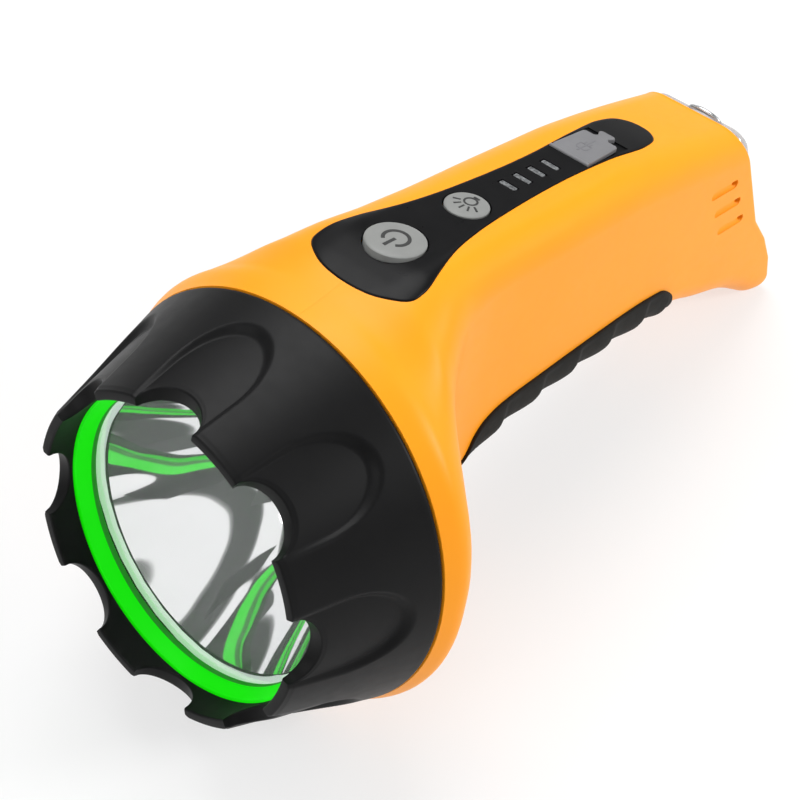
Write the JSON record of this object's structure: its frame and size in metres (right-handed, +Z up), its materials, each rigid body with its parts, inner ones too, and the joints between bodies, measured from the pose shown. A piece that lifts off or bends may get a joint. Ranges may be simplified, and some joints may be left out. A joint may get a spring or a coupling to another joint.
{
  "type": "flashlight",
  "caption": "Handheld rechargeable flashlight with a wide scalloped head, a tapering handle, top control panel with keys and port flap, rubber grip and tail light.",
  "frame": {"origin": "centre of the bounding box in X and Y, on the surface the flashlight rests on", "axes": "+Z up at rest, -Y the way the beam points, +X to the right seen from behind the handle; the lamp's own axis leans back because it rests on its head and its foot"},
  "size_m": [0.1028, 0.2152, 0.1011],
  "materials": {
    "orange_plastic": "satin moulded plastic",
    "bezel_black": "matte black moulded plastic",
    "glow_green": "bright green moulded ring",
    "clear_plastic": "clear polished plastic lens",
    "tail_clear_plastic": "clear moulded plastic cover",
    "seal_rubber": "soft rubber",
    "mirror": "polished reflector coating",
    "phosphor": "yellow phosphor",
    "circuit_board": "green solder mask",
    "heat_sink_aluminium": "plain turned metal",
    "steel": "bright plated steel",
    "contact_metal": "bright nickel plating",
    "grip_rubber": "matte ribbed rubber",
    "panel_plastic": "satin black panel",
    "grey_rubber": "fine matte grey rubber",
    "switch_plastic": "black plastic",
    "window_plastic": "frosted grey plastic",
    "cell_wrap": "blue shrink wrap",
    "lead_red": "red insulation",
    "lead_black": "black insulation"
  },
  "bodies": {
    "housing": {"head_bezel": "bezel_black", "glow_ring": "glow_green", "front_lens": "clear_plastic", "lens_seal": "seal_rubber", "reflector": "mirror", "reflector_retaining_ring": "bezel_black", "main_led": "phosphor", "led_board": "circuit_board", "heat_sink": "heat_sink_aluminium", "led_screw_upper": "steel", "led_screw_lower": "steel", "body_shell_left": "orange_plastic", "body_shell_right": "orange_plastic", "body_screw_1": "steel", "body_screw_2": "steel", "body_screw_3": "steel", "body_screw_4": "steel", "grip_pad": "grip_rubber", "control_panel": "panel_plastic", "power_switch": "switch_plastic", "lamp_switch": "switch_plastic", "indicator_window_1": "window_plastic", "indicator_led_1": "phosphor", "indicator_window_2": "window_plastic", "indicator_led_2": "phosphor", "indicator_window_3": "window_plastic", "indicator_led_3": "phosphor", "indicator_window_4": "window_plastic", "indicator_led_4": "phosphor", "usb_port": "steel", "control_board": "circuit_board", "battery_cell_lower": "cell_wrap", "battery_cell_upper": "cell_wrap", "battery_cradle": "bezel_black", "battery_contact_positive": "contact_metal", "battery_contact_negative": "contact_metal", "battery_link": "contact_metal", "tail_seal": "seal_rubber", "tail_lens": "tail_clear_plastic", "tail_board": "circuit_board", "tail_led_1": "phosphor", "tail_led_2": "phosphor", "tail_led_3": "phosphor", "led_lead_positive": "lead_red", "led_lead_negative": "lead_black", "tail_lead_positive": "lead_red", "tail_lead_negative": "lead_black", "battery_lead_positive": "lead_red", "battery_lead_negative": "lead_black"},
    "power_key": {"power_button": "grey_rubber"},
    "power_plunger": {"power_switch_plunger": "contact_metal"},
    "lamp_key": {"lamp_button": "grey_rubber"},
    "lamp_plunger": {"lamp_switch_plunger": "contact_metal"},
    "port_flap": {"usb_cover": "grey_rubber"},
    "lanyard": {"lanyard_loop": "steel"}
  },
  "joints": [
    {"name": "power_button_press", "type": "slide", "parent": "housing", "child": "power_key", "axis": [0, -0.2328, -0.9725], "range_m": [0, 0.0006], "stiffness_N_per_m": 1000},
    {"name": "power_plunger_press", "type": "slide", "parent": "housing", "child": "power_plunger", "axis": [0, -0.2328, -0.9725], "range_m": [0, 0.0006], "stiffness_N_per_m": 200},
    {"name": "lamp_button_press", "type": "slide", "parent": "housing", "child": "lamp_key", "axis": [0, -0.2328, -0.9725], "range_m": [0, 0.0006], "stiffness_N_per_m": 1000},
    {"name": "lamp_plunger_press", "type": "slide", "parent": "housing", "child": "lamp_plunger", "axis": [0, -0.2328, -0.9725], "range_m": [0, 0.0006], "stiffness_N_per_m": 200},
    {"name": "usb_cover_hinge", "type": "hinge", "parent": "housing", "child": "port_flap", "pos_m": [0, 0.03452, 0.08504], "axis": [1, 0, 0], "range_deg": [0, 100], "stiffness_Nm_per_rad": 0.002},
    {"name": "lanyard_loop_pivot", "type": "hinge", "parent": "housing", "child": "lanyard", "pos_m": [0, 0.09203, 0.05855], "axis": [-1, 0, 0], "range_deg": [0, 175]}
  ],
  "couplings": [
    {"joint": "power_plunger_press", "follows": "power_button_press", "ratio": 1},
    {"joint": "lamp_plunger_press", "follows": "lamp_button_press", "ratio": 1}
  ]
}
